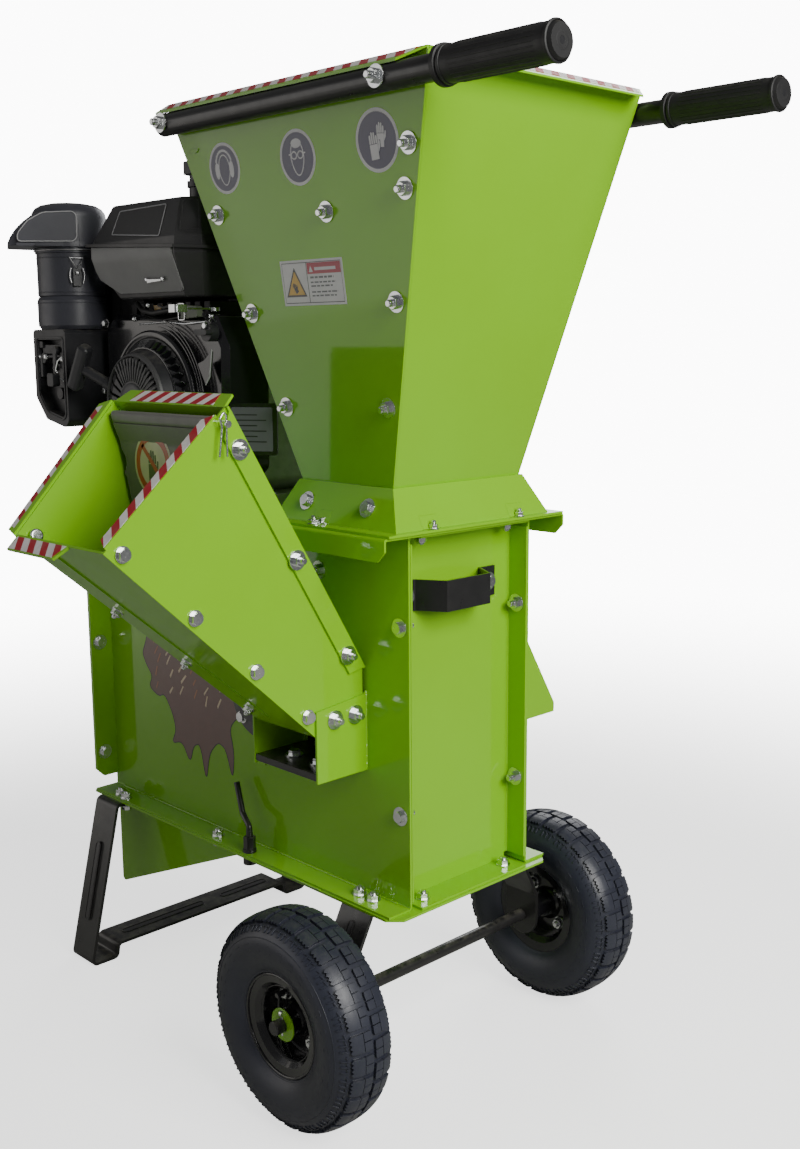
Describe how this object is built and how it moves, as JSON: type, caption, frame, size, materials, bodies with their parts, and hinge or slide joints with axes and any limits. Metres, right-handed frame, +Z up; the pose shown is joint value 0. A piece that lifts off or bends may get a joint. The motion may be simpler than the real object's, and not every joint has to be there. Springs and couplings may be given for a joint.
{
  "type": "wood chipper",
  "caption": "Petrol garden chipper-shredder on two wheels, with a tall top hopper, an angled branch chute, a rubber flap, push handles and a folding-strip stand.",
  "frame": {"origin": "bottom centre of the whole machine's bounding box, on the ground plane", "axes": "+Z up; +X towards the wheels and push handles, -X towards the engine and stand; -Y is the side with the branch chute, +Y the belt drive side"},
  "size_m": [0.9646, 0.735, 1.193],
  "materials": {
    "green_paint": "gloss green powder coat on sheet steel",
    "black_paint": "satin black paint on steel",
    "zinc": "bright zinc plate",
    "bare_steel": "machined bare steel",
    "tool_steel": "ground tool steel",
    "casting": "as-cast aluminium",
    "iron": "cast iron",
    "tyre_rubber": "moulded tyre rubber",
    "flap_rubber": "rubber sheet, worn paler at the top",
    "grip_rubber": "soft ribbed grip rubber",
    "belt_rubber": "fabric-wrapped V belt",
    "black_plastic": "moulded black plastic",
    "gloss_plastic": "smooth dark grey plastic"
  },
  "bodies": {
    "chipper": {"air_cleaner": "gloss_plastic", "air_cleaner_hood": "black_plastic", "anvil_plate": "black_paint", "axle": "black_paint", "base_plate": "green_paint", "belt_guard": "green_paint", "blower_housing": "black_paint", "carry_handle": "black_paint", "chute_bottom_panel": "green_paint", "chute_far_panel": "green_paint", "chute_near_panel": "green_paint", "chute_throat": "green_paint", "chute_top_panel": "green_paint", "crankcase": "casting", "discharge_spout": "green_paint", "drive_belt": "belt_rubber", "drive_side_panel": "green_paint", "engine_end_panel": "green_paint", "feed_side_panel": "green_paint", "flap_clip": "zinc", "flap_rod": "zinc", "frame_bolts": "zinc", "fuel_tank": "black_paint", "handle_grips": "grip_rubber", "handle_tubes": "black_paint", "hopper_bolts": "zinc", "hopper_collar": "green_paint", "hopper_wall_drive": "green_paint", "hopper_wall_engine": "green_paint", "hopper_wall_feed": "green_paint", "hopper_wall_wheel": "green_paint", "intake_cover": "black_plastic", "muffler": "black_paint", "panel_bolts": "zinc", "recoil_cover": "black_plastic", "rotor_bearings": "iron", "side_hood": "green_paint", "stand": "black_paint", "top_plate": "green_paint", "wheel_brackets": "black_paint", "wheel_end_panel": "green_paint"},
    "wheel_feed": {"tyre_feed": "tyre_rubber", "rim_feed": "black_paint"},
    "wheel_drive": {"tyre_drive": "tyre_rubber", "rim_drive": "black_paint"},
    "rotor": {"rotor_disc": "bare_steel", "rotor_shaft": "bare_steel", "chipper_knives": "tool_steel", "rotor_paddles": "bare_steel", "rotor_pulley": "iron"},
    "crank": {"crankshaft": "bare_steel", "engine_pulley": "iron"},
    "flap": {"chute_flap": "flap_rubber"},
    "lever": {"clamp_lever": "black_paint"},
    "starter": {"starter_grip": "black_plastic"},
    "cap": {"fuel_cap": "gloss_plastic"},
    "throttle": {"throttle_lever": "zinc"},
    "choke": {"choke_lever": "black_plastic"},
    "switch": {"stop_switch": "black_plastic"},
    "latch": {"cleaner_latch": "tool_steel"}
  },
  "joints": [
    {"name": "wheel_feed_spin", "type": "hinge", "parent": "chipper", "child": "wheel_feed", "pos_m": [0.14131, -0.12905, 0.13], "axis": [0, 1, 0], "continuous": true},
    {"name": "wheel_drive_spin", "type": "hinge", "parent": "chipper", "child": "wheel_drive", "pos_m": [0.14131, 0.32495, 0.13], "axis": [0, 1, 0], "continuous": true},
    {"name": "rotor_spin", "type": "hinge", "parent": "chipper", "child": "rotor", "pos_m": [-0.07369, 0.09795, 0.452], "axis": [0, 1, 0], "continuous": true},
    {"name": "crank_spin", "type": "hinge", "parent": "chipper", "child": "crank", "pos_m": [-0.21069, 0.09795, 0.832], "axis": [0, 1, 0], "continuous": true},
    {"name": "flap_swing", "type": "hinge", "parent": "chipper", "child": "flap", "pos_m": [0.04131, -0.20505, 0.826], "axis": [1, 0, 0], "range_deg": [0, 25]},
    {"name": "clamp_turn", "type": "hinge", "parent": "chipper", "child": "lever", "pos_m": [-0.07469, -0.03305, 0.26], "axis": [0, 0, 1], "range_deg": [0, 150]},
    {"name": "starter_pull", "type": "slide", "parent": "chipper", "child": "starter", "axis": [-0.7596, -0.4498, 0.4698], "range_m": [0, 0.08]},
    {"name": "cap_turn", "type": "hinge", "parent": "chipper", "child": "cap", "pos_m": [-0.15869, -0.01405, 1.11], "axis": [0, 0, 1], "range_deg": [0, 90]},
    {"name": "throttle_swing", "type": "hinge", "parent": "chipper", "child": "throttle", "pos_m": [-0.12069, -0.03005, 0.951], "axis": [0, 0, 1], "range_deg": [-25, 25]},
    {"name": "choke_swing", "type": "hinge", "parent": "chipper", "child": "choke", "pos_m": [-0.38469, -0.10605, 0.9], "axis": [0, 1, 0], "range_deg": [0, 50]},
    {"name": "switch_turn", "type": "hinge", "parent": "chipper", "child": "switch", "pos_m": [-0.09069, -0.06705, 0.922], "axis": [0, 1, 0], "range_deg": [0, 90]},
    {"name": "latch_open", "type": "hinge", "parent": "chipper", "child": "latch", "pos_m": [-0.35276, -0.07795, 0.985], "axis": [0.255, 0.9669, 0], "range_deg": [0, 60]}
  ],
  "couplings": [
    {"joint": "crank_spin", "follows": "rotor_spin", "ratio": 1.9048}
  ]
}
